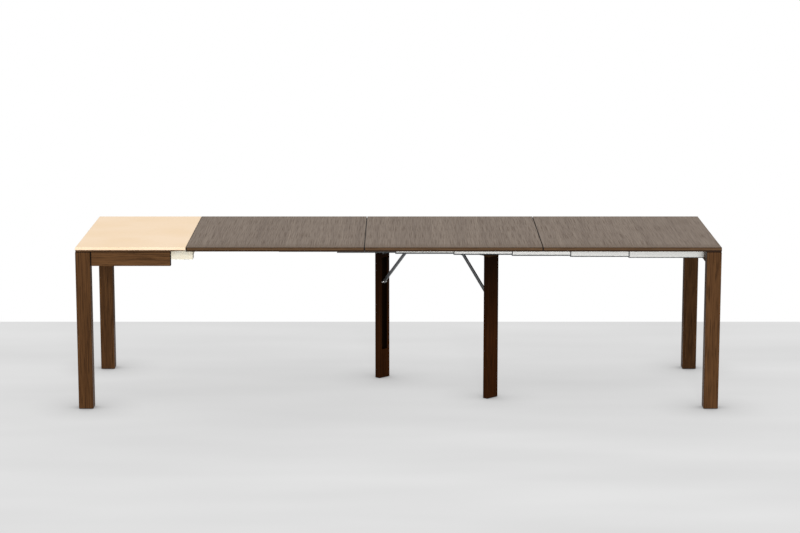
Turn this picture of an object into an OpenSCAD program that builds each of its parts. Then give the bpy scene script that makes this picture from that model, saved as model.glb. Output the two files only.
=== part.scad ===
// Extendable console table, drawn fully extended with its three leaves in place.
// X runs along the table, Y from the front to the back and Z up; the feet stand at Z = 0.
// A short console on two legs holds ten-part telescopic rails. Nine stages slide out of it and carry
// the right-hand legs away, and a swivelling pair of folding legs holds up the middle.

/* [Table] */
// Length with all leaves in place
open_l = 3000; // [2940:5:3060]
// Length of the closed console, which is also its fixed top
closed_l = 513; // [505:1:525]
// Width over the tops
width = 900; // [860:5:1000]
// Height of the table top
height = 770; // [740:5:790]

/* [Tops] */
// Thickness of a loose leaf
leaf_t = 19; // [17:1:25]
// Thickness of the lacquered board of the fixed top
lacquer_t = 12; // [10:1:14]
// Thickness of the dark board under it
under_t = 7; // [5:0.5:10]
// Rounding of the lacquered board's upper edges
lacquer_r = 4; // [1:0.5:6]
// Chamfer on the upper edges of the leaves
leaf_edge = 1; // [0.5:0.25:2]
// Joint between two leaves, seen from above
joint_gap = 2.5; // [0.5:0.25:4]
// Depth of that joint, down to the lip that closes it
joint_d = 7; // [4:0.5:10]
// Joint between the fixed top and the first leaf
fixed_gap = 1; // [0.5:0.25:2]
// Set-back of the dark board behind the lacquered edge
under_inset = 1.5; // [0.5:0.5:4]

/* [Legs and aprons] */
// Side of a square end leg
leg_w = 68; // [60:1:72]
// Chamfer on the long edges of the legs
leg_edge = 1.5; // [0.5:0.25:4]
// Height of the plastic glide under an end leg
glide_h = 3; // [2:0.5:6]
// Diameter of the glide
glide_d = 34; // [20:1:50]
// Thickness of the aprons
apron_t = 22; // [18:1:26]
// Height of the side aprons
side_apron_h = 69; // [60:1:70]
// Height of the two end aprons
end_apron_h = 61; // [55:1:66]
// Set-back of an apron behind the face of its legs
apron_inset = 3; // [1:0.5:8]
// Chamfer on the lower edges of the aprons
apron_edge = 2; // [0.5:0.5:4]
// Width of the shadow groove between a side apron and its leg
shadow_w = 7; // [1:0.5:10]
// Height of the shadow groove that runs round the frame under the tops
shadow_h = 4.5; // [2:0.5:8]
// Depth of the aprons' shadow grooves, from the outer face of the legs
shadow_d = 9; // [4:0.5:10]
// Set-back of a leg's dark neck, which carries the groove on
neck_in = 1.5; // [1:0.5:4]
// Thickness of the steel corner plates
corner_t = 2.5; // [2:0.5:4]
// Height of the corner plates
corner_h = 46; // [30:1:50]

/* [Telescopic rails] */
// Distance from the edge of the top to the face of the outermost rail
rail_inset = 110; // [104:1:120]
// Height of the outermost rail
rail_h = 49.7; // [48:0.1:52]
// Length of the outermost rail
rail_l = 348; // [340:1:360]
// Stagger of the rails' left ends when the table is closed
rail_stagger = 2.8; // [2:0.1:5]
// Sideways step from one rail to the next
rail_step = 5; // [4.8:0.1:5.2]
// Rise of the underside from one rail to the next
rail_rise = 3.9; // [3.7:0.1:4]
// Thickness of a rail's upright web
rail_web = 2.5; // [2.2:0.1:2.6]
// Thickness of a rail's floor
rail_floor = 2; // [1.5:0.1:2.4]
// Width of the outermost rail's floor
rail_floor_w = 55; // [53:1:60]
// Height of the rib that each rail carries on its outer face
rib_h = 8; // [6:0.5:8.5]
// Thickness of the lips that hold the rib
lip_t = 2; // [1.5:0.1:2.4]
// Running clearance between two rails
rail_play = 0.4; // [0.3:0.05:0.5]
// Rounding of the lower outer edge of a rail
rail_r = 2; // [1:0.5:3]
// Thickness of the plastic end caps
cap_t = 5; // [2:0.5:8]

/* [Cross members] */
// Width of the beech crosspiece of the innermost stage
beech_w = 102; // [80:1:110]
// Distance of the beech crosspiece from its rail's left end
beech_offset = 33; // [25:1:60]
// Depth of the beech crosspiece at its front end
beech_h = 67; // [60:1:69]
// Length of that deeper front end
beech_nose_l = 60; // [40:1:80]
// Height of the beech crosspiece behind the nose
beech_thin_h = 50.5; // [44:0.5:51]
// Width of the steel crosspiece that holds the swivel
cross_w = 60; // [50:1:62]
// Height of the steel crosspiece
cross_h = 13.4; // [12:0.1:16]
// Wall of the steel crosspiece
cross_t = 3; // [2:0.5:4]
// Distance of the swivel pin from the left end of its rail
swivel_offset = 190; // [185:1:195]

/* [Middle legs] */
// Angle of the carrier to the table's length when extended
carrier_angle = 46; // [40:1:50]
// Distance between the outer faces of the two middle legs, along the carrier
legs_span = 703; // [690:1:706]
// Width of a middle leg
mid_leg_w = 70; // [60:1:72]
// Thickness of a middle leg
mid_leg_t = 31; // [28:1:34]
// Gap between the two middle legs when folded side by side
mid_leg_gap = 4; // [3:0.5:8]
// Thickness of the carrier board
carrier_t = 11; // [9:0.5:12]
// Gap between the carrier and the rails above it
carrier_gap = 2; // [1:0.5:4]
// Gap between a middle leg and the floor, so that it swings clear
floor_gap = 1; // [1:0.5:3]
// Rounding of a middle leg's outer lower edge
foot_r = 5; // [4:1:10]
// Width of the groove in a middle leg
groove_w = 35; // [30:1:38]
// Depth of the groove
groove_d = 14; // [13.5:0.5:16]
// Height of the groove's lower end
groove_z = 145; // [120:5:200]
// Diameter of the swivel pin
swivel_d = 16; // [12:1:20]
// Diameter of the swivel's shoulder
shoulder_d = 60; // [40:1:60]

/* [Leg hinges and braces] */
// Diameter of the hinge barrels
barrel_d = 10; // [9:0.5:10.5]
// Diameter of the hinge pins
hinge_pin_d = 5; // [4:0.5:6]
// Gap between a barrel and the leg or carrier beside it
barrel_gap = 0.5; // [0.3:0.1:1]
// Thickness of the steel strap under the carrier
strap_t = 3; // [2.5:0.5:3.5]
// Width of the strap
strap_w = 16; // [14:1:18]
// Thickness of the hinge plate on the leg
plate_t = 2.5; // [2:0.5:3]
// Length of the hinge plate down the leg
plate_l = 60; // [40:1:70]
// Distance from the leg's inner face to the brace's upper pivot
brace_reach = 175; // [165:1:180]
// Drop of the upper pivot below the carrier
brace_drop = 11; // [10.5:0.5:12]
// Distance from the carrier down to the brace's lower end
brace_fall = 205; // [195:1:215]
// Height of a brace bar
brace_h = 14; // [12:1:14]
// Thickness of a brace bar
brace_t = 7; // [5:0.5:8]
// Diameter of the brace's upper pivot pin
brace_pin_d = 8; // [6:0.5:9]
// Diameter of the roller at the brace's lower end
roller_d = 10; // [8:0.5:10]
// Clearance of a pin in its hole
pin_play = 0.2; // [0.1:0.05:0.4]

/* [Hidden] */
$fn = 64;
cut = 1;
run_gap = 0.3;
closing_gap = 1;
leaf_count = 3;
stage_count = 9;
swivel_stage = 5;

half_l = open_l / 2;
half_w = width / 2;
fixed_x = closed_l - half_l;
stage_travel = (open_l - closed_l) / stage_count;
rail_pitch = stage_travel - rail_stagger;
leaf_l = (open_l - closed_l) / leaf_count;

leaf_z = height - leaf_t;
run_z = leaf_z - run_gap;
lacquer_z = height - lacquer_t;
under_z = lacquer_z - under_t;
relief_z = run_z + closing_gap;
relief_slope = 3.5;
board_lap = 1;
lip_in = 12;

glide_edge = 1;
left_x = leg_w - half_l;
right_x = half_l - leg_w;
legs_y = half_w - leg_w;
// The side aprons stop short of where the right-hand legs stand when the table is closed
leg_stop_gap = 2;
apron_stop_x = fixed_x - leg_w - leg_stop_gap;
left_apron_x = apron_inset - half_l;
left_apron_in_x = left_apron_x + apron_t;
side_apron_y = half_w - apron_inset;
side_apron_in_y = side_apron_y - apron_t;

rib_w = rail_step - rail_web - rail_play;
rib_top_z = run_z - lip_t - rail_play;
rib_low_z = rib_top_z - rib_h;
rail_in_y = half_w - rail_inset - rail_floor_w;
// The sliding rails end this much short of the right-hand legs
rail_short = 2;

unit_x = rail_left(swivel_stage) + swivel_offset;
mid_x = legs_span / 2;
mid_in_x = mid_x - mid_leg_t;
mid_y = (mid_leg_w + mid_leg_gap) / 2;
carrier_top_z = rail_bottom(1) - carrier_gap;
carrier_z = carrier_top_z - carrier_t;
hinge_x = mid_in_x - barrel_d / 2 - barrel_gap;
hinge_z = carrier_z - barrel_d / 2 - barrel_gap;
plate_gap = 16;
groove_top_z = hinge_z - plate_l - plate_gap;

pivot_x = mid_in_x - brace_reach;
pivot_z = carrier_z - brace_drop;
roller_x = mid_in_x + roller_d / 2;
roller_z = carrier_z - brace_fall;
brace_l = norm([roller_x - pivot_x, roller_z - pivot_z]);
brace_angle = atan2(roller_z - pivot_z, roller_x - pivot_x);
knuckle_play = 0.3;
knuckle_w = 9;
pin_out = 1;
eye_wall = 3.5;
hollow = 1.5;
hollow_gap = 6;

walnut = "#5a3e27";
dark_walnut = "#3a2413";
lacquer = "#efd9ba";
leaf_grey = "#867a71";
beech = "#fbf3da";
aluminium = "#dcdad4";
dark_plastic = "#3c3c3c";
steel = "#565656";
bright_steel = "#c8c8c8";

// Stage 1 is the outermost rail, fixed to the right-hand legs; the guide counts as stage 10.
function rail_face(k) = half_w - rail_inset - rail_step * (k - 1);
function rail_bottom(k) = run_z - rail_h + rail_rise * (k - 1);
function rail_left(k) = right_x - rail_l - rail_pitch * (k - 1);
function rail_length(k) = rail_l - (k > 1 ? rail_short : 0) - rail_stagger * (k - 1);
// The floors of the two stages with a crosspiece reach furthest inwards, each to its own length
function rail_inner(k) = rail_in_y + rail_play * (k == stage_count ? 0 : k == swivel_stage ? 1 : 2);

// A rectangle from one corner to the other
module rect(low, high) {
    translate(low) square(high - low);
}

// A box from one corner to the other
module block(low, high) {
    translate(low) cube(high - low);
}

// A rectangle with all four corners cut
module chamfered_rect(low, high, edge) {
    polygon([
        [low.x + edge, low.y], [high.x - edge, low.y], [high.x, low.y + edge], [high.x, high.y - edge],
        [high.x - edge, high.y], [low.x + edge, high.y], [low.x, high.y - edge], [low.x, low.y + edge]
    ]);
}

// Draws a section of Y and Z and runs it along X from x0 to x1
module along_x(x0, x1) {
    translate([x0, 0, 0]) rotate([90, 0, 90]) linear_extrude(x1 - x0) children();
}

// Draws a section of X and Z and runs it along Y from y0 to y1
module along_y(y0, y1) {
    translate([0, y1, 0]) rotate([90, 0, 0]) linear_extrude(y1 - y0) children();
}

// The front side mirrors the back, which is drawn
module front_side() {
    mirror([0, 1, 0]) children();
}

// The middle legs' own frame: X along the carrier towards the front leg, Y across it
module unit_frame() {
    translate([unit_x, 0, 0]) rotate([0, 0, -carrier_angle]) children();
}

// The back leg and all that belongs to it is the front one turned half a turn about the swivel
module unit_back_frame() {
    translate([unit_x, 0, 0]) rotate([0, 0, 180 - carrier_angle]) children();
}

// A board's section with its two upper corners chamfered
module board_section(low, high, edge) {
    polygon([
        low, [high.x, low.y], [high.x, high.y - edge],
        [high.x - edge, high.y], [low.x + edge, high.y], [low.x, high.y - edge]
    ]);
}

// A board's section with its two upper corners rounded
module rounded_section(low, high, r) {
    rect(low, [high.x, high.y - r]);
    rect([low.x + r, low.y], [high.x - r, high.y]);
    translate([low.x + r, high.y - r]) circle(r);
    translate([high.x - r, high.y - r]) circle(r);
}

module fixed_top() {
    color(lacquer) intersection() {
        along_y(-half_w - cut, half_w + cut)
            rounded_section([-half_l, lacquer_z], [fixed_x - fixed_gap / 2, height], lacquer_r);
        along_x(-half_l - cut, fixed_x + cut)
            rounded_section([-half_w, lacquer_z], [half_w, height], lacquer_r);
    }
}

// The dark board is thinner over the rails and rises at its right end, where the right-hand legs
// come in under it when the table is closed
module under_board() {
    y = half_w - under_inset;
    x0 = -half_l + under_inset;
    x1 = fixed_x - fixed_gap / 2 - under_inset;
    step_x = apron_stop_x - board_lap;
    color(dark_walnut) difference() {
        along_y(-y, y) polygon([
            [x0, under_z], [step_x, under_z], [step_x, relief_z],
            [x1, relief_z + relief_slope], [x1, lacquer_z], [x0, lacquer_z]
        ]);
        block([left_apron_in_x, -legs_y, under_z - cut], [step_x + cut, legs_y, relief_z]);
    }
}

// A square leg standing on its glide, necked at the top for the shadow groove
module end_leg(x0, y0, top) {
    color(walnut) {
        translate([0, 0, glide_h]) linear_extrude(top - shadow_h - glide_h)
            chamfered_rect([x0, y0], [x0 + leg_w, y0 + leg_w], leg_edge);
        translate([0, 0, top - shadow_h - cut]) linear_extrude(shadow_h + cut)
            rect([x0 + neck_in, y0 + neck_in], [x0 + leg_w - neck_in, y0 + leg_w - neck_in]);
    }
}

// Two round plastic glides, one under each leg of a pair
module leg_glides(x) {
    for (side = [-1, 1])
        color(dark_plastic) translate([x, side * (half_w - leg_w / 2), 0]) rotate_extrude()
            polygon([
                [0, 0], [glide_d / 2 - glide_edge, 0], [glide_d / 2, glide_edge],
                [glide_d / 2, glide_h], [0, glide_h]
            ]);
}

// An apron between the two legs of a pair, with its lower edges chamfered
module end_apron(x0, top) {
    color(walnut) along_y(-legs_y, legs_y) polygon([
        [x0 + apron_edge, top - end_apron_h], [x0 + apron_t - apron_edge, top - end_apron_h],
        [x0 + apron_t, top - end_apron_h + apron_edge], [x0 + apron_t, top],
        [x0, top], [x0, top - end_apron_h + apron_edge]
    ]);
}

// The left one also carries the shadow groove
module left_end_apron() {
    difference() {
        end_apron(left_apron_x, under_z);
        block([left_apron_x - cut, -legs_y - cut, under_z - shadow_h],
              [shadow_d - half_l, legs_y + cut, under_z + cut]);
    }
}

// The apron along one side, with chamfered edges and shadow grooves beside the leg and above
module side_apron() {
    low = under_z - side_apron_h;
    color(walnut) difference() {
        intersection() {
            along_x(left_x, apron_stop_x) chamfered_rect(
                [side_apron_in_y, low], [side_apron_y, under_z + apron_edge], apron_edge);
            along_y(side_apron_in_y - cut, side_apron_y + cut) polygon([
                [left_x, low], [apron_stop_x - apron_edge, low],
                [apron_stop_x, low + apron_edge], [apron_stop_x, under_z], [left_x, under_z]
            ]);
        }
        block([left_x - cut, half_w - shadow_d, low - cut],
              [left_x + shadow_w, half_w, under_z + cut]);
        block([left_x - cut, half_w - shadow_d, under_z - shadow_h],
              [apron_stop_x + cut, half_w, under_z + cut]);
    }
}

// Steel plates across the two inner corners of the console, bent flat against both aprons
module corner_plates() {
    reach = 4;
    flange = 25;
    drop = 8;
    depth = side_apron_in_y - legs_y + left_x - left_apron_in_x + reach;
    bend_x = left_apron_in_x + depth;
    bend_y = side_apron_in_y - depth;
    z0 = under_z - corner_h - drop;
    for (side = [0, 1])
        color(steel) mirror([0, side, 0]) translate([0, 0, z0]) linear_extrude(corner_h) {
            rect([bend_x, side_apron_in_y - corner_t], [bend_x + flange, side_apron_in_y]);
            rect([left_apron_in_x, bend_y - flange], [left_apron_in_x + corner_t, bend_y]);
            polygon([
                [left_apron_in_x, bend_y], [bend_x, side_apron_in_y],
                [bend_x, side_apron_in_y - corner_t], [bend_x + corner_t, side_apron_in_y - corner_t],
                [left_apron_in_x + corner_t, bend_y - corner_t], [left_apron_in_x, bend_y - corner_t]
            ]);
        }
}

// A rail is an L: an upright web outside and a floor turned inwards. Its rib runs between the
// lips of the next larger rail, and its own lips hold the rib of the next smaller one.
module rail_section(k, top) {
    face = rail_face(k);
    low = rail_bottom(k);
    difference() {
        union() {
            rect([face - rail_web, low], [face, top]);
            rect([rail_inner(k), low], [face, low + rail_floor]);
        }
        difference() {
            rect([face - rail_r, low - cut], [face + cut, low + rail_r]);
            translate([face - rail_r, low + rail_r]) circle(rail_r);
        }
    }
    if (k > 1)
        rect([face - rail_web / 2, rib_low_z], [face + rib_w, rib_top_z]);
    if (k <= stage_count) {
        lip_y = face - rail_web - rib_w;
        web_y = face - rail_web / 2;
        rect([lip_y, run_z - lip_t], [web_y, run_z]);
        rect([lip_y, rib_low_z - rail_play - lip_t], [web_y, rib_low_z - rail_play]);
    }
}

module rail(k) {
    color(aluminium) along_x(rail_left(k), rail_left(k) + rail_length(k)) rail_section(k, run_z);
}

// The guide is the smallest rail. It is fixed to the left end apron and up to the dark board.
module guide_rail() {
    color(aluminium) along_x(left_apron_in_x, apron_stop_x - board_lap) rail_section(stage_count + 1, relief_z);
}

// An end cap closes the mouth of a rail round the smaller rail that slides through it
module rail_cap_section(k) {
    face = rail_face(k);
    low = rail_bottom(k);
    mouth_y = face - rail_step + rail_play;
    difference() {
        union() {
            rect([mouth_y, low], [face, run_z]);
            rect([rail_inner(k), low], [face, low + rail_rise - rail_play]);
        }
        rect([mouth_y - cut, rib_low_z - rail_play], [face - rail_web + rail_play / 2, rib_top_z + rail_play]);
        difference() {
            rect([face - rail_r, low - cut], [face + cut, low + rail_r]);
            translate([face - rail_r, low + rail_r]) circle(rail_r);
        }
    }
}

module rail_caps(k) {
    x = rail_left(k);
    for (side = [0, 1])
        color(dark_plastic) mirror([0, side, 0]) along_x(x - cap_t, x) rail_cap_section(k);
}

// The beech crosspiece ties the two innermost moving rails. Its front end is deeper, and behind
// that its underside is relieved so that the leg carrier passes below it when the table closes.
module beech_crosspiece() {
    x0 = rail_left(stage_count) + beech_offset;
    color(beech) along_x(x0, x0 + beech_w) polygon([
        [-rail_in_y, run_z - beech_h], [beech_nose_l - rail_in_y, run_z - beech_h],
        [beech_nose_l - rail_in_y, run_z - beech_thin_h], [rail_in_y, run_z - beech_thin_h],
        [rail_in_y, run_z], [-rail_in_y, run_z]
    ]);
}

// A steel channel, open below, between the rails of the fifth stage, with a boss for the swivel pin
module steel_crosspiece() {
    low = rail_bottom(swivel_stage);
    top = low + cross_h;
    x0 = unit_x - cross_w / 2;
    x1 = unit_x + cross_w / 2;
    half = rail_inner(swivel_stage);
    boss_wall = 6;
    color(steel) difference() {
        union() {
            difference() {
                block([x0, -half, low], [x1, half, top]);
                block([x0 + cross_t, cross_t - half, low - cut],
                      [x1 - cross_t, half - cross_t, top - cross_t]);
            }
            translate([unit_x, 0, low]) cylinder(h = cross_h - cross_t / 2, d = swivel_d + 2 * boss_wall);
        }
        translate([unit_x, 0, low - cut]) cylinder(h = cross_h + 2 * cut, d = swivel_d + 2 * pin_play);
    }
}

// The turned pin hangs the carrier under the crosspiece: a riveted end above, a broad shoulder
// between them and a head below the carrier
module swivel_pin() {
    r = swivel_d / 2;
    head_r = r + 7;
    head_h = 4;
    rivet_r = r + 4;
    rivet_h = 2.5;
    edge = 1;
    cross_z = rail_bottom(swivel_stage);
    rivet_z = cross_z + cross_h;
    head_z = carrier_z - run_gap;
    shoulder_z = carrier_top_z + run_gap;
    color(bright_steel) translate([unit_x, 0, 0]) rotate_extrude() polygon([
        [0, head_z - head_h], [head_r - edge, head_z - head_h], [head_r, head_z - head_h + edge],
        [head_r, head_z], [r, head_z],
        [r, shoulder_z], [shoulder_d / 2, shoulder_z], [shoulder_d / 2, cross_z], [r, cross_z],
        [r, rivet_z], [rivet_r, rivet_z], [rivet_r - edge, rivet_z + rivet_h], [0, rivet_z + rivet_h]
    ]);
}

// The board that carries both middle legs, cut away on the side that each leg doesn't need and
// beside the leg, where it would show below the rails
module leg_carrier() {
    near = mid_leg_gap / 2;
    wide = mid_leg_w + mid_leg_gap / 2;
    neck_x = 130;
    neck_y = 35;
    waist_x = 70;
    waist_y = 40;
    notch_far = 50;
    notch_near = 16;
    notch_y = 24;
    half = [
        [mid_in_x, near], [mid_x, near], [mid_x, wide], [neck_x, wide], [waist_x, waist_y],
        [-neck_x, neck_y], [notch_far - mid_in_x, -notch_y], [notch_near - mid_in_x, -notch_y]
    ];
    color(dark_walnut) unit_frame() translate([0, 0, carrier_z]) difference() {
        linear_extrude(carrier_t) polygon(concat(half, [for (p = half) -p]));
        translate([0, 0, -cut]) cylinder(h = carrier_t + 2 * cut, d = swivel_d + 2 * pin_play);
    }
}

// A middle leg, grooved down its inner face for the roller of its brace
module middle_leg() {
    y0 = mid_y - mid_leg_w / 2;
    color(dark_walnut) difference() {
        intersection() {
            linear_extrude(carrier_z - run_gap)
                chamfered_rect([mid_in_x, y0], [mid_x, y0 + mid_leg_w], leg_edge);
            along_y(y0 - cut, y0 + mid_leg_w + cut) {
                rect([mid_in_x - cut, floor_gap], [mid_x - foot_r, carrier_z]);
                rect([mid_in_x - cut, floor_gap + foot_r], [mid_x, carrier_z]);
                translate([mid_x - foot_r, floor_gap + foot_r]) circle(foot_r);
            }
        }
        block([mid_in_x - cut, mid_y - groove_w / 2, groove_z],
              [mid_in_x + groove_d, mid_y + groove_w / 2, groove_top_z]);
    }
}

// The strap is screwed under the carrier. One end is rolled into the middle knuckle of the leg's
// hinge, and the other has two ears for the brace.
module hinge_strap() {
    y0 = mid_y - strap_w / 2;
    y1 = mid_y + strap_w / 2;
    strap_z = carrier_z - strap_t;
    ear_t = (strap_w - brace_t) / 2 - knuckle_play;
    ear_wall = 5;
    ear_r = brace_pin_d / 2 + ear_wall;
    color(steel) {
        along_y(y0, y1) difference() {
            union() {
                rect([pivot_x - ear_r, strap_z], [hinge_x, carrier_z]);
                translate([hinge_x, hinge_z]) circle(d = barrel_d);
            }
            translate([hinge_x, hinge_z]) circle(d = hinge_pin_d + 2 * pin_play);
        }
        for (y = [y0, y1 - ear_t])
            along_y(y, y + ear_t) difference() {
                union() {
                    translate([pivot_x, pivot_z]) circle(ear_r);
                    rect([pivot_x - ear_r, pivot_z], [pivot_x + ear_r, strap_z + strap_t / 2]);
                }
                translate([pivot_x, pivot_z]) circle(d = brace_pin_d + 2 * pin_play);
            }
    }
}

// The leg's half of the hinge: a flat plate on the inner face with two rolled knuckles
module hinge_plate() {
    y0 = mid_y - strap_w / 2 - knuckle_play;
    y1 = mid_y + strap_w / 2 + knuckle_play;
    plate_x = mid_in_x - plate_t;
    plate_z = hinge_z - barrel_d / 2 - 1;
    color(steel) {
        block([plate_x, y0 - knuckle_w, hinge_z - plate_l], [mid_in_x, y1 + knuckle_w, plate_z]);
        for (y = [y0 - knuckle_w, y1])
            along_y(y, y + knuckle_w) difference() {
                union() {
                    translate([hinge_x, hinge_z]) circle(d = barrel_d);
                    rect([hinge_x, plate_z - cut], [mid_in_x, hinge_z]);
                }
                translate([hinge_x, hinge_z]) circle(d = hinge_pin_d + 2 * pin_play);
            }
    }
}

// Four plain pins: the leg hinges' and the braces' upper pivots
module pivot_pins() {
    hinge_half = strap_w / 2 + knuckle_play + knuckle_w + pin_out;
    brace_half = strap_w / 2 + pin_out;
    color(bright_steel) {
        unit_frame() pin_pair(hinge_half, brace_half);
        unit_back_frame() pin_pair(hinge_half, brace_half);
    }
}

module pin_pair(hinge_half, brace_half) {
    along_y(mid_y - hinge_half, mid_y + hinge_half) translate([hinge_x, hinge_z]) circle(d = hinge_pin_d);
    along_y(mid_y - brace_half, mid_y + brace_half) translate([pivot_x, pivot_z]) circle(d = brace_pin_d);
}

// A flat steel bar with an eye at each end and a long pressed hollow in both faces
module brace() {
    y0 = mid_y - brace_t / 2;
    y1 = mid_y + brace_t / 2;
    eye_d = brace_pin_d + 2 * eye_wall;
    hollow_x0 = eye_d + hollow_gap;
    hollow_x1 = brace_l - eye_d - hollow_gap;
    hollow_r = brace_h / 5;
    color(steel) translate([pivot_x, 0, pivot_z]) rotate([0, -brace_angle, 0]) difference() {
        union() {
            along_y(y0, y1) {
                circle(d = eye_d);
                rect([0, -brace_h / 2], [brace_l, brace_h / 2]);
                translate([brace_l, 0]) circle(d = roller_d + 2 * eye_wall);
            }
        }
        along_y(y0 - cut, y1 + cut) {
            circle(d = brace_pin_d + 2 * pin_play);
            translate([brace_l, 0]) circle(d = roller_d + 2 * pin_play);
        }
        for (y = [y0 - cut, y1 - hollow])
            along_y(y, y + hollow + cut) {
                rect([hollow_x0, -hollow_r], [hollow_x1, hollow_r]);
                translate([hollow_x0, 0]) circle(hollow_r);
                translate([hollow_x1, 0]) circle(hollow_r);
            }
    }
}

// The roller runs down the groove of the leg as the brace folds
module brace_roller() {
    side_play = 0.5;
    half = groove_w / 2 - side_play;
    color(bright_steel) translate([roller_x, 0, roller_z])
        along_y(mid_y - half, mid_y + half) circle(d = roller_d);
}

// Leaf number i, counted from the fixed top. A lip low on its right edge closes the joint from below;
// it stops short of the front and back, so that the joint stays open there.
module leaf(i) {
    x0 = fixed_x + leaf_l * (i - 1) + (i > 1 ? joint_gap : fixed_gap) / 2;
    x1 = fixed_x + leaf_l * i - (i < leaf_count ? joint_gap / 2 : 0);
    color(leaf_grey) {
        intersection() {
            along_y(-half_w - cut, half_w + cut) board_section([x0, leaf_z], [x1, height], leaf_edge);
            along_x(x0 - cut, x1 + cut) board_section([-half_w, leaf_z], [half_w, height], leaf_edge);
        }
        if (i < leaf_count)
            block([x1 - cut, lip_in - half_w, leaf_z],
                  [x1 + joint_gap - run_gap, half_w - lip_in, height - joint_d]);
    }
}

fixed_top();
under_board();
end_leg(-half_l, -half_w, under_z);  // left_leg_front
end_leg(-half_l, legs_y, under_z);  // left_leg_back
left_end_apron();
front_side() side_apron();  // side_apron_front
side_apron();  // side_apron_back
corner_plates();
leg_glides(leg_w / 2 - half_l);  // left_leg_glides
front_side() guide_rail();  // guide_rail_front
guide_rail();  // guide_rail_back
front_side() rail(1);  // rail_1_front
rail(1);  // rail_1_back
rail_caps(1);  // rail_caps_1
front_side() rail(2);  // rail_2_front
rail(2);  // rail_2_back
rail_caps(2);  // rail_caps_2
front_side() rail(3);  // rail_3_front
rail(3);  // rail_3_back
rail_caps(3);  // rail_caps_3
front_side() rail(4);  // rail_4_front
rail(4);  // rail_4_back
rail_caps(4);  // rail_caps_4
front_side() rail(5);  // rail_5_front
rail(5);  // rail_5_back
rail_caps(5);  // rail_caps_5
front_side() rail(6);  // rail_6_front
rail(6);  // rail_6_back
rail_caps(6);  // rail_caps_6
front_side() rail(7);  // rail_7_front
rail(7);  // rail_7_back
rail_caps(7);  // rail_caps_7
front_side() rail(8);  // rail_8_front
rail(8);  // rail_8_back
rail_caps(8);  // rail_caps_8
front_side() rail(9);  // rail_9_front
rail(9);  // rail_9_back
rail_caps(9);  // rail_caps_9
end_leg(right_x, -half_w, run_z);  // right_leg_front
end_leg(right_x, legs_y, run_z);  // right_leg_back
end_apron(right_x, run_z);  // right_end_apron
leg_glides(half_l - leg_w / 2);  // right_leg_glides
beech_crosspiece();
steel_crosspiece();
swivel_pin();
leg_carrier();
unit_frame() hinge_strap();  // hinge_strap_front
unit_back_frame() hinge_strap();  // hinge_strap_back
pivot_pins();
unit_frame() middle_leg();  // middle_leg_front
unit_back_frame() middle_leg();  // middle_leg_back
unit_frame() hinge_plate();  // hinge_plate_front
unit_back_frame() hinge_plate();  // hinge_plate_back
unit_frame() brace();  // brace_front
unit_back_frame() brace();  // brace_back
unit_frame() brace_roller();  // brace_roller_front
unit_back_frame() brace_roller();  // brace_roller_back
leaf(1);  // leaf_1
leaf(2);  // leaf_2
leaf(3);  // leaf_3
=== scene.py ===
"""An extendable console table with its three leaves in, on a pale studio floor."""

import math

import bpy
import numpy as np
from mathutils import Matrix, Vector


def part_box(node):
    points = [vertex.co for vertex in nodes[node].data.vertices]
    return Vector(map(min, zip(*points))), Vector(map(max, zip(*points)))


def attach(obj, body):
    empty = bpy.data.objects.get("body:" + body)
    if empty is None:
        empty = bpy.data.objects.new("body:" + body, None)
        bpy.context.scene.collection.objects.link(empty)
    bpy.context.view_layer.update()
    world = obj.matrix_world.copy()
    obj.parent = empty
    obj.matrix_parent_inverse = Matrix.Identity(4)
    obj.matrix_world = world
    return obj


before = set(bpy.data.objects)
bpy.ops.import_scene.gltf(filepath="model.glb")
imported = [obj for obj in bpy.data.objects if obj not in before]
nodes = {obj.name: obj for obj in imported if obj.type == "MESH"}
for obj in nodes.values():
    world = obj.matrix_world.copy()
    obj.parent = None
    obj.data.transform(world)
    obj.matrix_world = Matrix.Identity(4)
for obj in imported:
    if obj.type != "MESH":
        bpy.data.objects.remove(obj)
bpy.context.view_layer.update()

MM = 0.001

# The leg carrier has its own frame round the swivel: u runs along it towards the front middle leg, and v
# across it. The front leg's middle lies at LEG_V, and the back leg is the front one turned half a turn.
CARRIER_ANGLE = math.radians(46)
ALONG = np.array([math.cos(CARRIER_ANGLE), -math.sin(CARRIER_ANGLE), 0])
ACROSS = np.array([math.sin(CARRIER_ANGLE), math.cos(CARRIER_ANGLE), 0])
pin_low, pin_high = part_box("swivel_pin")
SWIVEL = np.array([(pin_low[0] + pin_high[0]) / 2, 0, 0])
LEG_V = 0.037


# Colours and nodes

def linear(hex_colour):
    """An sRGB hex colour as a linear RGBA tuple."""
    srgb = np.array([int(hex_colour[i:i + 2], 16) for i in (1, 3, 5)]) / 255
    low = srgb / 12.92
    high = ((srgb + 0.055) / 1.055) ** 2.4
    return (*np.where(srgb <= 0.04045, low, high).tolist(), 1.0)


def add(tree, kind, inputs=None, out=0, **settings):
    """Adds a node with its settings, sets or links its inputs, and returns one of its outputs."""
    node = tree.nodes.new(kind)
    for name, value in settings.items():
        setattr(node, name, value)
    for socket, value in (inputs or {}).items():
        if isinstance(value, bpy.types.NodeSocket):
            tree.links.new(value, node.inputs[socket])
        elif isinstance(value, str):
            node.inputs[socket].default_value = linear(value)
        else:
            node.inputs[socket].default_value = value
    return node.outputs[out] if node.outputs else node


def blank(name):
    """A new material with nothing in its tree, and the tree."""
    material = bpy.data.materials.new(name)
    material.use_nodes = True
    material.node_tree.nodes.clear()
    return material, material.node_tree


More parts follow.
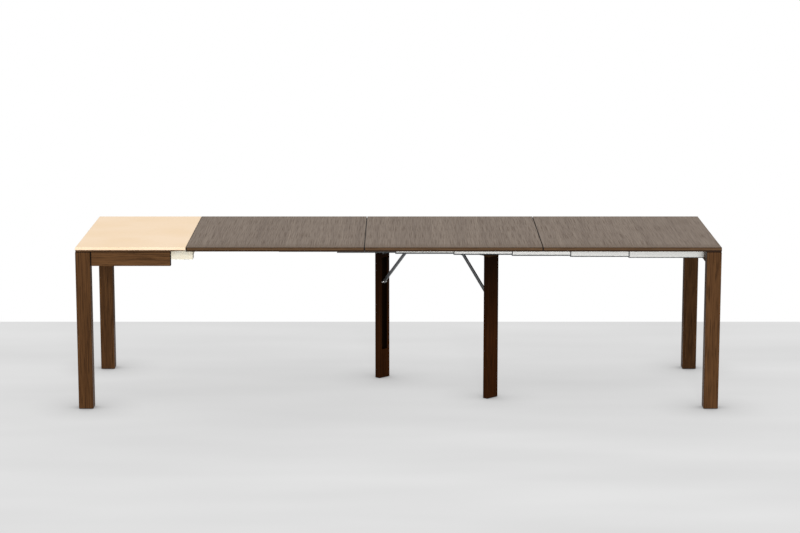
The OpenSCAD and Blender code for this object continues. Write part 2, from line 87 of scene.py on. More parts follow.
def wander(tree, size_mm, low, high, seed=0.0, detail=3.0, roughness=0.5):
    """A value that wanders over the surface, with one wave in each size in millimetres along X, Y and Z.
    It is stretched so that the noise's low becomes 0 and its high becomes 1."""
    place = add(tree, "ShaderNodeMapping", {
        "Vector": add(tree, "ShaderNodeTexCoord", out="Object"),
        "Location": (seed, 0.37 * seed, 0.71 * seed),
        "Scale": tuple(1 / (size * MM) for size in size_mm),
    })
    waves = add(tree, "ShaderNodeTexNoise", {
        "Vector": place, "Scale": 1.0, "Detail": detail, "Roughness": roughness})
    return add(tree, "ShaderNodeMapRange", {"Value": waves, "From Min": low, "From Max": high})


def along_axis(tree, axis):
    """The surface's place along an axis, in metres."""
    place = add(tree, "ShaderNodeTexCoord", out="Object")
    return add(tree, "ShaderNodeSeparateXYZ", {0: place}, axis)


def beyond(tree, axis, pair_mm, from_mm=0):
    """0 before the first place of a pair on an axis and 1 after the second, both counted from from_mm."""
    start_mm, full_mm = pair_mm
    return add(tree, "ShaderNodeMapRange", {
        "Value": along_axis(tree, axis),
        "From Min": (from_mm + start_mm) * MM, "From Max": (from_mm + full_mm) * MM})


# How far a face's normal has to lie along an axis to count as facing it. The wide pair takes in bevels of
# 45 degrees as well.
NARROW = (0.8, 0.9)
WIDE = (0.5, 0.6)


def facing(tree, axis, pair=NARROW):
    """1 where the surface faces along an axis, either way, and 0 where it doesn't."""
    start, full = pair
    way = add(tree, "ShaderNodeTexCoord", out="Normal")
    size = add(tree, "ShaderNodeMath", {
        0: add(tree, "ShaderNodeSeparateXYZ", {0: way}, axis)}, operation="ABSOLUTE")
    return add(tree, "ShaderNodeMapRange", {"Value": size, "From Min": start, "From Max": full})


# Woods

AXES = {"X": 0, "Y": 1, "Z": 2}
# A Mix node takes the share of the second thing at 0. With this setting it mixes the colours at 6 and 7 and
# gives the result at output 2. Without it, it mixes the numbers at 2 and 3.
MIX = {"data_type": "RGBA"}
# Each direction of the grain in the frame gets another part of the pattern
FRAME_SEED = {"X": 2.3, "Y": 5.9, "Z": 0.0}
# The nearly black of the painted shade in the folding legs
PAINTED_SHADE_BLACK = "#0d0501"


def grain_size(along, across_mm, length_mm):
    """A pattern's size on each axis: long in the direction of the grain, narrow across it."""
    size = [across_mm] * 3
    size[AXES[along]] = length_mm
    return size


def oak(tree, along, dark, light, pore_tone, seed, streak_mm=280, pore_mm=90):
    """The colour of stained oak, and its pores. Broad bands of tone 40 mm wide and fine streaks 6 mm wide
    run with the grain. The real pores are about 0.3 mm wide and would vanish at this distance, so they are
    drawn 2.5 mm wide. Streaks and pores are as long as streak_mm and pore_mm say, and the bands four times
    as long as the streaks."""
    bands = wander(tree, grain_size(along, 40, 4 * streak_mm), 0.32, 0.68, seed, 4.0)
    streaks = wander(tree, grain_size(along, 6, streak_mm), 0.3, 0.7, seed + 3.1, 3.0, 0.65)
    pores = wander(tree, grain_size(along, 2.5, pore_mm), 0.50, 0.36, seed + 6.7, 2.0)
    tone = add(tree, "ShaderNodeMix", {0: 0.62, 2: bands, 3: streaks})
    body = add(tree, "ShaderNodeMix", {0: tone, 6: dark, 7: light}, 2, **MIX)
    depth = add(tree, "ShaderNodeMath", {0: pores, 1: 0.6}, operation="MULTIPLY")
    return add(tree, "ShaderNodeMix", {0: depth, 6: body, 7: pore_tone}, 2, **MIX), pores


def oiled(material, colour, pores, shine):
    """The dull, oil-like finish of the woods: rich colour seen face on, a soft grey sheen only at a low
    angle, and pores 0.2 mm deep."""
    tree = material.node_tree
    shader = add(tree, "ShaderNodeBsdfPrincipled", {
        "Base Color": colour, "IOR": 1.5, "Specular IOR Level": shine,
        "Roughness": add(tree, "ShaderNodeMapRange", {"Value": pores, "To Min": 0.4, "To Max": 0.55}),
        "Normal": add(tree, "ShaderNodeBump", {
            "Height": pores, "Distance": 0.2 * MM, "Strength": 0.6}, invert=True),
    })
    add(tree, "ShaderNodeOutputMaterial", {"Surface": shader})
    return material


def frame_oak(name, along, dark, light, shade_z_mm, shade_x_mm=()):
    """Walnut-stained oak of the legs and aprons. The shadow grooves under the tops and beside the left
    legs are painted nearly black as shade, and the arris at an apron's open end is darkened nearly black
    too, which draws a fine dark line round the frame. The pair shade_z_mm, and each pair in shade_x_mm,
    is where this darkening starts and is full along Z and X."""
    material, tree = blank(name)
    colour, pores = oak(tree, along, dark, light, "#241305", FRAME_SEED[along])
    painted_shade = beyond(tree, "Z", shade_z_mm)
    for pair_mm in shade_x_mm:
        painted_shade = add(tree, "ShaderNodeMath", {0: painted_shade, 1: beyond(tree, "X", pair_mm)}, operation="MAXIMUM")
    # Painted shade: the shadow grooves, and the darkened arris at the open end, are mixed to nearly black
    colour = add(tree, "ShaderNodeMix", {0: painted_shade, 6: colour, 7: "#1d1006"}, 2, **MIX)
    return oiled(material, colour, pores, 0.05)


def plain_oak(name, along, dark, light, pore_tone):
    """Stained oak in one tone, without grooves."""
    material, tree = blank(name)
    colour, pores = oak(tree, along, dark, light, pore_tone, 8.4)
    return oiled(material, colour, pores, 0.02)


# The painted shade in the groove that a brace's roller runs in, in metres of the carrier's frame: its lowest
# height,
# 5 mm under the groove's, and its middle and half width along u and v. It covers the groove's walls and
# bottom, and starts 0.5 mm behind the leg's inner face.
GROOVE_LOW_Z = 0.140
GROOVE_U, GROOVE_HALF_U = 0.32785, 0.00685
GROOVE_HALF_V = 0.0176
# The middle legs' painted shade starts to deepen at the first of these heights and is deepest at the second
TOP_SHADE_Z_MM = (300, 700)
TOP_SHADE_MOST = 0.85


def grooved_oak(name, dark, light, pore_tone):
    """Dark-stained oak of the folding legs, with hardly any sheen. Its dark tone is partly the stain and
    partly painted shade, for the shade under the table. The painted shade deepens towards the top, and the
    groove that each brace's roller runs in is painted black as shade. The back leg's groove is the front
    one's turned half a turn, so the size of u and v without their signs finds both."""
    material, tree = blank(name)
    colour, pores = oak(tree, "Z", dark, light, pore_tone, 8.4)
    # Painted shade: nearly black is mixed in more towards the top of the leg
    depth = add(tree, "ShaderNodeMath", {0: beyond(tree, "Z", TOP_SHADE_Z_MM), 1: TOP_SHADE_MOST},
                operation="MULTIPLY")
    colour = add(tree, "ShaderNodeMix", {0: depth, 6: colour, 7: PAINTED_SHADE_BLACK}, 2, **MIX)
    place = add(tree, "ShaderNodeMapping", {
        "Vector": add(tree, "ShaderNodeTexCoord", out="Object"),
        "Rotation": (0, 0, CARRIER_ANGLE),
        "Location": tuple(-SWIVEL[0] * np.array([ALONG[0], ACROSS[0], 0]))})
    # Painted shade: the roller's groove is painted black
    groove_shade = add(tree, "ShaderNodeMath", {
        0: add(tree, "ShaderNodeSeparateXYZ", {0: place}, "Z"), 1: GROOVE_LOW_Z}, operation="GREATER_THAN")
    for axis, centre, reach in (("X", GROOVE_U, GROOVE_HALF_U), ("Y", LEG_V, GROOVE_HALF_V)):
        size = add(tree, "ShaderNodeMath", {
            0: add(tree, "ShaderNodeSeparateXYZ", {0: place}, axis)}, operation="ABSOLUTE")
        inside = add(tree, "ShaderNodeMath", {0: size, 1: centre, 2: reach}, operation="COMPARE")
        groove_shade = add(tree, "ShaderNodeMath", {0: groove_shade, 1: inside}, operation="MULTIPLY")
    colour = add(tree, "ShaderNodeMix", {0: groove_shade, 6: colour, 7: PAINTED_SHADE_BLACK}, 2, **MIX)
    return oiled(material, colour, pores, 0.02)


# The parts of a leaf's skin, in millimetres. Each pair says where a part starts and where it is full.
# Across the table: the browner veneer at the front, and how far it turns brown
BROWNER_Y_MM = (-340, -440)
BROWNEST = 0.6
# Over the underside: the painted shade of the foot, and the level faces that are painted nearly black as
# shade unless veneer covers them
FOOT_SHADE_Z_MM = (7.2, 6.6)
LIP_SHADE_Z_MM = (2, 3)
# Against the top: the arris with painted shade, and the level faces that are veneered
ARRIS_SHADE_Z_MM = (-3.2, -2.8)
VENEER_Z_MM = (-3, -2)
# The veneer against the first leaf's left end, and the edges painted black as shade, counted from the last
# leaf's right end
VENEER_X_MM = (2.2, 2.8)
JOINT_SHADE_X_MM = (-10, -11)
# The painted shade on a long edge reaches this far to either side of its middle
JOINT_SHADE_MM = 3.2


def leaf_veneer(name, low_mm, high_mm, right_end_mm, left_end_mm, joints_mm):
    """The skin of the leaves, between the heights low_mm and high_mm. Their top is grey-brown veneer with
    the grain across the table, a little browner near the front edge. The long edges are warmer solid
    lippings with the grain along them, between an arris with painted shade above and a foot with painted
    shade below. The edges in the joints and the lips that close them are painted nearly black as shade in
    the gaps. So are 2.5 mm of the top at the first leaf's left end, left_end_mm, and the long edges round
    each place in joints_mm: 2 mm on either side of a joint between leaves, and 5 mm beside the cream top.
    The last leaf's right end, right_end_mm, isn't."""
    material, tree = blank(name)
    top, pores = oak(tree, "Y", "#695a4e", "#8c7d6f", "#524337", 1.7, 600, 200)
    browner = add(tree, "ShaderNodeMath", {0: beyond(tree, "Y", BROWNER_Y_MM), 1: BROWNEST},
                  operation="MULTIPLY")
    top = add(tree, "ShaderNodeMix", {0: browner, 6: top, 7: "#614e3d"}, 2, **MIX)
    edge, _ = oak(tree, "X", "#4f3821", "#634a32", "#33200f", 4.1)
    end, _ = oak(tree, "Y", "#4f3821", "#634a32", "#33200f", 6.3)
    long_edge = facing(tree, "Y", WIDE)
    foot_shade = beyond(tree, "Z", FOOT_SHADE_Z_MM, low_mm)
    arris_shade = beyond(tree, "Z", ARRIS_SHADE_Z_MM, high_mm)
    inside = add(tree, "ShaderNodeMath", {
        0: beyond(tree, "Z", VENEER_Z_MM, high_mm),
        1: beyond(tree, "X", VENEER_X_MM, left_end_mm)}, operation="MULTIPLY")
    is_top = add(tree, "ShaderNodeMath", {0: facing(tree, "Z"), 1: inside}, operation="MULTIPLY")
    lip_shade = add(tree, "ShaderNodeMath", {
        0: facing(tree, "Z"), 1: beyond(tree, "Z", LIP_SHADE_Z_MM, low_mm)}, operation="MULTIPLY")
    joint_shade = add(tree, "ShaderNodeMath", {
        0: facing(tree, "X", WIDE), 1: beyond(tree, "X", JOINT_SHADE_X_MM, right_end_mm)}, operation="MULTIPLY")
    x = along_axis(tree, "X")
    corner_shade = 0.0
    for joint_mm in joints_mm:
        near = add(tree, "ShaderNodeMath", {
            0: x, 1: joint_mm * MM, 2: JOINT_SHADE_MM * MM}, operation="COMPARE")
        corner_shade = add(tree, "ShaderNodeMath", {0: near, 1: corner_shade}, operation="MAXIMUM")
    corner_shade = add(tree, "ShaderNodeMath", {0: corner_shade, 1: long_edge}, operation="MULTIPLY")
    colour = add(tree, "ShaderNodeMix", {0: long_edge, 6: end, 7: edge}, 2, **MIX)
    # Painted shade: the arris, the foot, the joint edges and the lips are mixed to dark tones
    for mask, tone in ((arris_shade, "#3a281a"), (foot_shade, "#2f1c0c"), (joint_shade, "#140c06"), (corner_shade, "#140c06"),
                       (lip_shade, "#0e0804")):
        colour = add(tree, "ShaderNodeMix", {0: mask, 6: colour, 7: tone}, 2, **MIX)
    colour = add(tree, "ShaderNodeMix", {0: is_top, 6: colour, 7: top}, 2, **MIX)
    return oiled(material, colour, pores, 0.08)


def pale_beech(name):
    """Steamed beech under clear lacquer: pale cream, with faint bands 30 mm wide and short darker flecks.
    The real flecks are under 1 mm wide and are drawn 3 mm wide."""
    material, tree = blank(name)
    bands = wander(tree, (30, 500, 30), 0.3, 0.7)
    flecks = wander(tree, (3, 14, 3), 0.42, 0.30, 2.2, 2.0)
    body = add(tree, "ShaderNodeMix", {0: bands, 6: "#fff4d9", 7: "#fffae8"}, 2, **MIX)
    depth = add(tree, "ShaderNodeMath", {0: flecks, 1: 0.12}, operation="MULTIPLY")
    shader = add(tree, "ShaderNodeBsdfPrincipled", {
        "Base Color": add(tree, "ShaderNodeMix", {0: depth, 6: body, 7: "#dcc49b"}, 2, **MIX),
        "Roughness": 0.5, "IOR": 1.5,
        "Normal": add(tree, "ShaderNodeBump", {
            "Height": flecks, "Distance": 0.05 * MM, "Strength": 0.3}, invert=True),
    })
    add(tree, "ShaderNodeOutputMaterial", {"Surface": shader})
    return material


# Lacquer, metals and plastic

def cream_lacquer(name):
    """Sprayed satin lacquer on fibre board: one warm cream with clouds 240 mm wide that are hardly seen,
    and an orange peel, really about 1 mm wide and drawn 6 mm wide."""
    material, tree = blank(name)
    clouds = wander(tree, (240, 240, 240), 0.35, 0.65, 0.0, 2.0)
    peel = wander(tree, (6, 6, 6), 0.3, 0.7, 1.0, 2.0)
    shader = add(tree, "ShaderNodeBsdfPrincipled", {
        "Base Color": add(tree, "ShaderNodeMix", {0: clouds, 6: "#f4d9b7", 7: "#f7dec0"}, 2, **MIX),
        "Roughness": 0.55, "IOR": 1.5, "Specular IOR Level": 0.15,
        "Normal": add(tree, "ShaderNodeBump", {"Height": peel, "Distance": 0.02 * MM, "Strength": 0.5}),
    })
    add(tree, "ShaderNodeOutputMaterial", {"Surface": shader})
    return material


# The painted shade along the outermost rails' foot is this high. Every next rail stands 3.9 mm higher and
# has its band of painted shade
# 0.8 mm higher, for a step of 5 mm inwards.
RAIL_FOOT_SHADE_MM = 4
FOOT_SHADE_RISE = (3.9 + 0.8) / 5


def anodised_aluminium(name, low_mm, face_mm):
    """Extruded aluminium, satin anodised: pale silver with die lines along X, really about 0.1 mm apart and
    drawn 0.8 mm apart. The foot of each rail and its underside are painted dull dark grey as shade. The
    outermost rails stand low_mm high and face_mm from the table's middle. Both a rail's height and its
    painted shade's grow evenly with its step inwards, so one plane, of that rise, finds all the feet."""
    material, tree = blank(name)
    lines = wander(tree, (700, 0.8, 0.8), 0.3, 0.7, 0.0, 2.0)
    outwards = add(tree, "ShaderNodeMath", {0: along_axis(tree, "Y")}, operation="ABSOLUTE")
    level = add(tree, "ShaderNodeMath", {
        0: outwards, 1: FOOT_SHADE_RISE, 2: along_axis(tree, "Z")}, operation="MULTIPLY_ADD")
    # Painted shade along each rail's foot and underside
    foot_shade_mm = low_mm + face_mm * FOOT_SHADE_RISE + RAIL_FOOT_SHADE_MM
    foot_shade = add(tree, "ShaderNodeMapRange", {
        "Value": level, "From Min": foot_shade_mm * MM, "From Max": (foot_shade_mm - 0.5) * MM})
    pale = add(tree, "ShaderNodeMix", {0: lines, 6: "#bdbdba", 7: "#c9c8c5"}, 2, **MIX)
    shaded_grey = add(tree, "ShaderNodeMix", {0: lines, 6: "#3a3c3d", 7: "#464849"}, 2, **MIX)
    shader = add(tree, "ShaderNodeBsdfPrincipled", {
        "Base Color": add(tree, "ShaderNodeMix", {0: foot_shade, 6: pale, 7: shaded_grey}, 2, **MIX),
        "Metallic": 1.0,
        "Roughness": add(tree, "ShaderNodeMapRange", {"Value": lines, "To Min": 0.22, "To Max": 0.28}),
        "Normal": add(tree, "ShaderNodeBump", {"Height": lines, "Distance": 0.02 * MM, "Strength": 0.2}),
    })
    add(tree, "ShaderNodeOutputMaterial", {"Surface": shader})
    return material


def plated_steel(name, dark, light, roughness):
    """Zinc-plated steel: faint cloudy patches 25 mm wide over rolling lines, which are really finer than
    0.1 mm and are drawn 1.2 mm wide."""
    material, tree = blank(name)
    clouds = wander(tree, (25, 25, 25), 0.3, 0.7)
    lines = wander(tree, (1.2, 1.2, 60), 0.3, 0.7, 4.0, 2.0)
    tone = add(tree, "ShaderNodeMix", {0: 0.4, 2: clouds, 3: lines})
    shader = add(tree, "ShaderNodeBsdfPrincipled", {
        "Base Color": add(tree, "ShaderNodeMix", {0: tone, 6: dark, 7: light}, 2, **MIX),
        "Metallic": 1.0,
        "Roughness": add(tree, "ShaderNodeMapRange", {
            "Value": clouds, "To Min": roughness - 0.05, "To Max": roughness + 0.08}),
        "Normal": add(tree, "ShaderNodeBump", {"Height": lines, "Distance": 0.02 * MM, "Strength": 0.3}),
    })
    add(tree, "ShaderNodeOutputMaterial", {"Surface": shader})
    return material


def moulded_nylon(name):
    """Injection-moulded dark grey nylon with a spark-eroded texture, really about 0.2 mm wide and drawn
    1.5 mm wide, which breaks up its sheen."""
    material, tree = blank(name)
    texture = wander(tree, (1.5, 1.5, 1.5), 0.3, 0.7, 0.0, 2.0)
    shader = add(tree, "ShaderNodeBsdfPrincipled", {
        "Base Color": add(tree, "ShaderNodeMix", {0: texture, 6: "#464748", 7: "#58595a"}, 2, **MIX),
        "Roughness": 0.55, "IOR": 1.52,
        "Normal": add(tree, "ShaderNodeBump", {"Height": texture, "Distance": 0.05 * MM, "Strength": 0.4}),
    })
    add(tree, "ShaderNodeOutputMaterial", {"Surface": shader})
    return material


# The finishes, and the pieces that have each of them

leaf_low, leaf_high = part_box("leaf_3")
rail_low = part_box("rail_1_front")[0]
leg_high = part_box("left_leg_front")[1]

# The frame's painted shade, nearly black, in the shadow groove under the tops and beside the left legs,
# and the darkening on the arris at the side aprons' open end. Each fades in over 0.2 mm.
SHADOW_H_MM, SHADOW_W_MM = 4.5, 7
ARRIS_MM = 3
FADE_MM = 0.2
groove_z_mm = leg_high[2] / MM - SHADOW_H_MM
groove_x_mm = leg_high[0] / MM + SHADOW_W_MM
arris_x_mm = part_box("side_apron_front")[1][0] / MM - ARRIS_MM
shade_z_mm = (groove_z_mm - FADE_MM, groove_z_mm)
shade_x_mm = ((groove_x_mm + FADE_MM, groove_x_mm), (arris_x_mm - FADE_MM, arris_x_mm))

# The painted shade at a joint between leaves has its middle in the joint, half of the joint's 2.5 mm before
# the next leaf. Leaf 1 meets the cream top without such a joint, and its painted shade has its middle inside
# the leaf.
HALF_JOINT_MM = 1.25
FIRST_SHADE_MM = 1.5
left_ends_mm = [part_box(leaf)[0][0] / MM for leaf in ("leaf_1", "leaf_2", "leaf_3")]
joints_mm = [left_ends_mm[0] + FIRST_SHADE_MM] + [end_mm - HALF_JOINT_MM for end_mm in left_ends_mm[1:]]

leaf_wood = leaf_veneer("grey_brown_oak_veneer", low_mm=leaf_low[2] / MM, high_mm=leaf_high[2] / MM,
                        right_end_mm=leaf_high[0] / MM, left_end_mm=left_ends_mm[0], joints_mm=joints_mm)
leg_wood = frame_oak("walnut_stained_oak_upright", "Z", "#3f2713", "#644427", shade_z_mm)
apron_wood = frame_oak("walnut_stained_oak_lengthwise", "X", "#472e18", "#6b4a2c", shade_z_mm, shade_x_mm)
end_wood = frame_oak("walnut_stained_oak_crosswise", "Y", "#472e18", "#6b4a2c", shade_z_mm)
under_wood = plain_oak("walnut_stained_board", "X", "#4d3520", "#6a4b32", "#2f1c0d")
# Painted shade: the folding legs' dark tone is partly the shade under the table
middle_wood = grooved_oak("dark_stained_and_shaded_oak_upright", "#1e0d03", "#42220b", "#160902")
carrier_wood = plain_oak("dark_stained_board", "X", "#2a1a0d", "#3f2917", "#190e06")
lacquer = cream_lacquer("satin_cream_lacquer")
aluminium = anodised_aluminium("satin_anodised_aluminium", low_mm=rail_low[2] / MM,
                               face_mm=-rail_low[1] / MM)
nylon = moulded_nylon("dark_grey_nylon")
steel = plated_steel("dull_zinc_plated_steel", "#6e6f71", "#858789", 0.42)
dark_steel = plated_steel("black_zinc_plated_steel", "#29292a", "#373738", 0.42)
bright_steel = plated_steel("bright_turned_steel", "#c4c4c2", "#dcdcd9", 0.28)
beech = pale_beech("clear_lacquered_beech")

RAIL_STAGES = range(1, 10)
SIDES = ("front", "back")

finishes = {
    lacquer: ["fixed_top"],
    under_wood: ["under_board"],
    carrier_wood: ["leg_carrier"],
    leaf_wood: ["leaf_1", "leaf_2", "leaf_3"],
    leg_wood: ["left_leg_front", "left_leg_back", "right_leg_front", "right_leg_back"],
    middle_wood: ["middle_leg_front", "middle_leg_back"],
    apron_wood: ["side_apron_front", "side_apron_back"],
    end_wood: ["left_end_apron", "right_end_apron"],
    aluminium: ["guide_rail_front", "guide_rail_back"]
    + [f"rail_{k}_{side}" for k in RAIL_STAGES for side in SIDES],
    nylon: ["left_leg_glides", "right_leg_glides"] + [f"rail_caps_{k}" for k in RAIL_STAGES],
    steel: ["corner_plates", "steel_crosspiece"] + [f"brace_{side}" for side in SIDES],
    dark_steel: [f"{piece}_{side}" for piece in ("hinge_strap", "hinge_plate") for side in SIDES],
    bright_steel: ["swivel_pin", "pivot_pins"] + [f"brace_roller_{side}" for side in SIDES],
    beech: ["beech_crosspiece"],
}
for material, names in finishes.items():
    for name in names:
        for slot in nodes[name].material_slots:
            slot.material = material


# Screws, washers, nuts, bolt ends, pin caps and rings

BOTH_WAYS = (1, -1)
SPOKES = 24
TURN = np.arange(SPOKES) * 2 * math.pi / SPOKES


def turned(profile, flats=None, cross=None):
    """A turned solid in millimetres: each (radius, height) of the profile becomes a ring of points
    (r cos a, r sin a, h), and its two ends lie on the axis. With flats, a ring goes no further out than a
    hexagon of that width, flats / 2 / cos(angle from the middle of its side). With cross = (reach, depth),
    the upper points within that reach and on the four arms cos(4 a) > 0.9 sink by the depth. Returns the
    points, and the faces as four-sided and three-sided arrays."""
    profile = np.array(profile, float)
    radius = np.repeat(profile[1:-1, :1], SPOKES, 1)
    height = np.repeat(profile[1:-1, 1:], SPOKES, 1)
    low_z, high_z = profile[0, 1], profile[-1, 1]
    if flats:
        from_side = (TURN + math.pi / 6) % (math.pi / 3) - math.pi / 6
        radius = np.minimum(radius, flats / 2 / np.cos(from_side))
    if cross:
        reach, depth = cross
        sunk = (np.cos(4 * TURN) > 0.9) & (radius < reach) & (height > 0)
        height = height - depth * sunk
        high_z = high_z - depth
    rings = np.stack([radius * np.cos(TURN), radius * np.sin(TURN), height], -1).reshape(-1, 3)
    points = np.vstack([rings, [[0, 0, low_z], [0, 0, high_z]]])
    step = np.arange(SPOKES)
    ahead = (step + 1) % SPOKES
    count = len(profile) - 2
    ring = SPOKES * np.arange(count - 1)[:, None]
    sides = np.stack([ring + step, ring + ahead, ring + SPOKES + ahead, ring + SPOKES + step], -1)
    top = SPOKES * (count - 1)
    low_cap = np.stack([ahead, step, np.full(SPOKES, len(rings))], -1)
    high_cap = np.stack([top + step, top + ahead, np.full(SPOKES, len(rings) + 1)], -1)
    return points, sides.reshape(-1, 4), np.vstack([low_cap, high_cap])


def fixings(name, shape, places, body):
    """One piece made of copies of a turned shape, each at a point in metres with its axis turned to a
    direction d: a point p goes to place + x u + y v + z d, where u and v are square to d."""
    points, quads, triangles = shape
    spot = np.array([place for place, _ in places], float)
    axis = np.array([way for _, way in places], float)
    axis /= np.linalg.norm(axis, axis=1, keepdims=True)
    helper = np.where(np.abs(axis[:, 2:]) < 0.9, [[0.0, 0.0, 1.0]], [[1.0, 0.0, 0.0]])
    u = np.cross(helper, axis)
    u /= np.linalg.norm(u, axis=1, keepdims=True)
    turns = np.stack([u, np.cross(axis, u), axis], 1)
    corners = spot[:, None] + np.einsum("pi,cij->cpj", points * MM, turns)
    first = len(points) * np.arange(len(places))[:, None, None]
    faces = (first + quads).reshape(-1, 4).tolist() + (first + triangles).reshape(-1, 3).tolist()
    mesh = bpy.data.meshes.new(name)
    mesh.from_pydata(corners.reshape(-1, 3).tolist(), [], faces)
    mesh.shade_smooth()
    mesh.set_sharp_from_angle(angle=math.radians(35))
    mesh.materials.append(bright_steel)
    piece = bpy.data.objects.new(name, mesh)
    bpy.context.collection.objects.link(piece)
    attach(piece, body)


pan_head = turned([(0, -0.4), (3.9, -0.4), (4.0, 0.2), (3.9, 1.0), (3.4, 1.6), (2.6, 1.95), (2.1, 2.1),
                   (1.6, 2.15), (0.7, 2.2), (0, 2.2)], cross=(2.0, 1.2))
flush_head = turned([(0, -1.2), (2.6, -1.2), (4.2, 0.0), (4.1, 0.18), (3.2, 0.25), (2.2, 0.3), (1.7, 0.3),
                     (0.7, 0.3), (0, 0.3)], cross=(2.0, 1.0))
washer = turned([(0, -0.3), (7.4, -0.3), (7.6, 0.0), (7.6, 1.1), (7.3, 1.4), (3.0, 1.4), (0, 1.4)])
hex_nut = turned([(0, 1.3), (5.6, 1.3), (6.4, 1.8), (6.6, 2.2), (6.6, 6.2), (6.3, 6.6), (5.5, 7.1),
                  (3.4, 7.1), (3.1, 6.7), (0, 6.7)], flats=11.0)
THREAD = [(3.0 - 0.35 * (i % 2), 6.0 + 0.6 * i) for i in range(16)]
bolt_end = turned([(0, 5.8), (2.9, 5.8)] + THREAD + [(2.2, 15.8), (0, 15.9)])
pin_cap = turned([(0, -0.3), (3.5, -0.3), (3.8, 0.1), (3.7, 0.8), (3.1, 1.4), (2.0, 1.8), (0, 1.95)])
wide_pin_cap = turned([(0, -0.3), (5.6, -0.3), (6.0, 0.2), (5.8, 1.0), (4.8, 1.6), (3.0, 2.0), (0, 2.1)])
clip_ring = turned([(0, 0.0), (7.2, 0.0), (7.5, 0.3), (7.5, 1.0), (7.2, 1.3), (5.1, 1.3), (0, 1.3)])

# Hanger bolts run from the left legs' corners through the plates, and screws hold the plates' flanges. The
# lengths are metres: the plates' thickness, their flanges' width, a fixing's distance from a plate's upper
# or lower end, and a screw's distance from the bend on the flange along X and on the one along Y.
PLATE_T = 0.0025
FLANGE = 0.025
FROM_PLATE_END = 0.011
SIDE_SCREW_FROM_BEND = 0.015
END_SCREW_FROM_BEND = 0.014
plate_low, plate_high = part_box("corner_plates")
bend_x = plate_high[0] - FLANGE
plate_depth = bend_x - plate_low[0]
plate_x = plate_low[0] + plate_depth / 2 + PLATE_T
plate_y = plate_high[1] - plate_depth / 2 - PLATE_T
bend_y = plate_high[1] - plate_depth
levels = (plate_low[2] + FROM_PLATE_END, plate_high[2] - FROM_PLATE_END)
bolts = [((plate_x, s * plate_y, z), (1, -s, 0)) for s in BOTH_WAYS for z in levels]
side_screws = [((bend_x + SIDE_SCREW_FROM_BEND, s * (plate_high[1] - PLATE_T), z), (0, -s, 0))
               for s in BOTH_WAYS for z in levels]
end_screws = [((plate_low[0] + PLATE_T, s * (bend_y - END_SCREW_FROM_BEND), z), (1, 0, 0))
              for s in BOTH_WAYS for z in levels]
fixings("corner_plate_washers", washer, bolts, "console")
fixings("corner_plate_nuts", hex_nut, bolts, "console")
fixings("corner_plate_bolts", bolt_end, bolts, "console")
fixings("corner_plate_screws", pan_head, side_screws + end_screws, "console")

# The centre support's fixings in metres, with U along the carrier, V to either side of LEG_V and Z over the
# floor: the strap's underside and its screws, the axes and the ends of the hinge pin, the brace's pin and
# the roller, and the hinge plate's face and its screws.
STRAP_Z, STRAP_SCREW_U = 0.685, (0.185, 0.218, 0.251, 0.284)
HINGE_U, HINGE_Z, HINGE_END_V = 0.315, 0.6825, 0.0183
PIVOT_U, PIVOT_Z, PIVOT_END_V = 0.1455, 0.677, 0.009
ROLLER_U, ROLLER_Z, RING_V = 0.3255, 0.483, 0.0036
PLATE_U, PLATE_SCREW_V, PLATE_SCREW_Z = 0.318, 0.012, (0.632, 0.661)
UNIT_SIGN = {"front": 1, "back": -1}


def on_unit(side, u, v, z):
    """A point of the carrier's frame in the table's. The back half is the front one turned half a turn."""
    return SWIVEL + UNIT_SIGN[side] * (u * ALONG + v * ACROSS) + np.array([0, 0, z])


strap_screws = [(on_unit(side, u, LEG_V, STRAP_Z), (0, 0, -1)) for side in SIDES for u in STRAP_SCREW_U]
hinge_pins = [(on_unit(side, HINGE_U, LEG_V + end * HINGE_END_V, HINGE_Z), UNIT_SIGN[side] * end * ACROSS)
              for side in SIDES for end in BOTH_WAYS]
brace_pins = [(on_unit(side, PIVOT_U, LEG_V + end * PIVOT_END_V, PIVOT_Z), UNIT_SIGN[side] * end * ACROSS)
              for side in SIDES for end in BOTH_WAYS]
fixings("strap_screws", flush_head, strap_screws, "centre_support")
fixings("hinge_pin_caps", pin_cap, hinge_pins, "centre_support")
fixings("brace_pin_caps", wide_pin_cap, brace_pins, "centre_support")
for side in SIDES:
    plate_screws = [(on_unit(side, PLATE_U, LEG_V + end * PLATE_SCREW_V, z), -UNIT_SIGN[side] * ALONG)
                    for end in BOTH_WAYS for z in PLATE_SCREW_Z]
    rings = [(on_unit(side, ROLLER_U, LEG_V + end * RING_V, ROLLER_Z), UNIT_SIGN[side] * end * ACROSS)
             for end in BOTH_WAYS]
    fixings(f"hinge_plate_screws_{side}", pan_head, plate_screws, f"folding_leg_{side}")
    fixings(f"roller_rings_{side}", clip_ring, rings, f"leg_brace_{side}")


# The camera stands in front of the table and looks down at it, as the photograph's did

CAMERA_PLACE = (0.0073, -11.086, 2.6463)
CAMERA_PITCH = math.radians(10.471)
CAMERA_LENS_MM = 104.85
SENSOR_WIDTH_MM = 36

camera_data = bpy.data.cameras.new("camera")
camera_data.lens = CAMERA_LENS_MM
camera_data.sensor_width = SENSOR_WIDTH_MM
camera = bpy.data.objects.new("camera", camera_data)
camera.location = CAMERA_PLACE
camera.rotation_euler = (math.pi / 2 - CAMERA_PITCH, 0, 0)
bpy.context.collection.objects.link(camera)
bpy.context.scene.camera = camera


# The studio, in metres: a plain pale floor that ends behind the table, a white surround and one soft light

FLOOR_BACK_Y = 1.55
FLOOR_REACH = 14.0
CONTACT_SHADE = 0.25


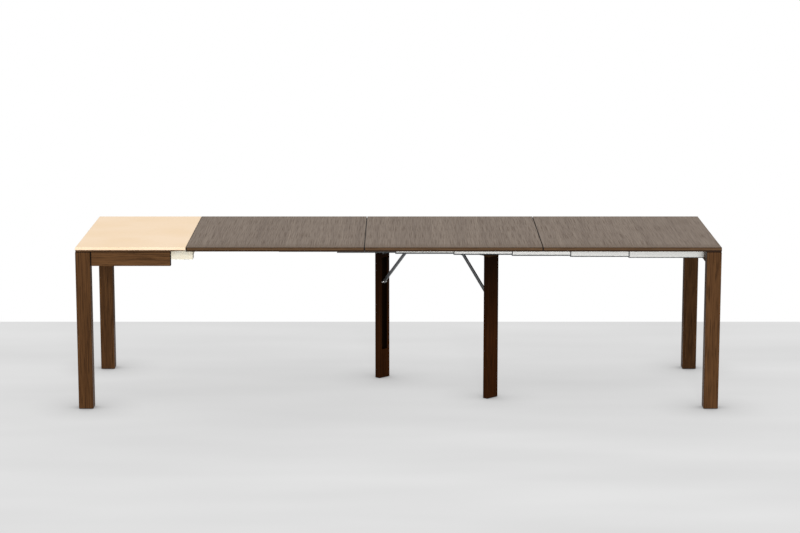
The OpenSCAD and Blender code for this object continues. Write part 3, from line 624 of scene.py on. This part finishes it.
def pale_floor(name, own_light, seen_albedo, real_albedo):
    """Matt pale flooring. It glows a little where it is seen or mirrored, so that the table's shadow on it
    stays faint, but less within CONTACT_SHADE of anything that stands on it, a painted contact shadow which
    keeps the feet on the floor. It throws less light back up under the table than it would by its looks, and
    can't be seen from below."""
    material, tree = blank(name)
    clouds = wander(tree, (1800, 500, 900), 0.3, 0.7, 0.0, 2.0)
    tone = add(tree, "ShaderNodeMix", {0: clouds, 6: "#f6f6f6", 7: "#ffffff"}, 2, **MIX)
    path = "ShaderNodeLightPath"
    seen = add(tree, "ShaderNodeMath", {
        0: add(tree, path, out="Is Camera Ray"), 1: add(tree, path, out="Is Glossy Ray"),
    }, operation="MAXIMUM")
    level = add(tree, "ShaderNodeMapRange", {"Value": seen, "To Min": real_albedo, "To Max": seen_albedo})
    matt = add(tree, "ShaderNodeMix", {0: level, 6: (0, 0, 0, 1), 7: tone}, 2, **MIX)
    # Painted contact shadow: the glow fades near anything that stands on the floor
    clear = add(tree, "ShaderNodeAmbientOcclusion", {"Distance": CONTACT_SHADE}, "AO", samples=16)
    glow = add(tree, "ShaderNodeMath", {0: seen, 1: own_light}, operation="MULTIPLY")
    glow = add(tree, "ShaderNodeMath", {0: glow, 1: clear}, operation="MULTIPLY")
    total = add(tree, "ShaderNodeAddShader", {
        0: add(tree, "ShaderNodeBsdfDiffuse", {"Color": matt}),
        1: add(tree, "ShaderNodeEmission", {"Color": tone, "Strength": glow})})
    one_sided = add(tree, "ShaderNodeMixShader", {
        0: add(tree, "ShaderNodeNewGeometry", out="Backfacing"),
        1: total, 2: add(tree, "ShaderNodeBsdfTransparent")})
    add(tree, "ShaderNodeOutputMaterial", {"Surface": one_sided})
    return material


def surround(horizon, zenith):
    """A world that is white where it is seen, and lights the table more from above than from the side."""
    world = bpy.data.worlds.new("white_surround")
    world.use_nodes = True
    tree = world.node_tree
    tree.nodes.clear()
    way = add(tree, "ShaderNodeTexCoord", out="Generated")
    level = add(tree, "ShaderNodeMapRange", {
        "Value": add(tree, "ShaderNodeSeparateXYZ", {0: way}, "Z"), "To Min": horizon, "To Max": zenith})
    shown = add(tree, "ShaderNodeMixShader", {
        0: add(tree, "ShaderNodeLightPath", out="Is Camera Ray"),
        1: add(tree, "ShaderNodeBackground", {"Color": (1, 1, 1, 1), "Strength": level}),
        2: add(tree, "ShaderNodeBackground", {"Color": (1, 1, 1, 1), "Strength": 1.0})})
    add(tree, "ShaderNodeOutputWorld", {"Surface": shown})
    bpy.context.scene.world = world


def soft_light(name, place, target, width, height, power):
    """An oblong soft light at one place that faces another."""
    data = bpy.data.lights.new(name, "AREA")
    data.shape = "RECTANGLE"
    data.size = width
    data.size_y = height
    data.energy = power
    light = bpy.data.objects.new(name, data)
    light.location = place
    x, y, z = np.array(target) - np.array(place)
    light.rotation_euler = (math.atan2(math.hypot(x, y), -z), 0, math.atan2(y, x) - math.pi / 2)
    bpy.context.collection.objects.link(light)


floor_mesh = bpy.data.meshes.new("floor")
floor_mesh.from_pydata(
    [(-FLOOR_REACH, -FLOOR_REACH, 0), (FLOOR_REACH, -FLOOR_REACH, 0),
     (FLOOR_REACH, FLOOR_BACK_Y, 0), (-FLOOR_REACH, FLOOR_BACK_Y, 0)], [], [(0, 1, 2, 3)])
floor_mesh.materials.append(pale_floor("pale_matt_floor", own_light=0.6, seen_albedo=0.16, real_albedo=0.5))
floor = bpy.data.objects.new("floor", floor_mesh)
bpy.context.collection.objects.link(floor)

surround(horizon=0.25, zenith=1.29)
soft_light("front_light", place=(1.47, -19.0, 4.1), target=(0, 0, 0.5), width=2.4, height=5.0, power=2150)
bpy.context.scene.view_settings.view_transform = "Standard"
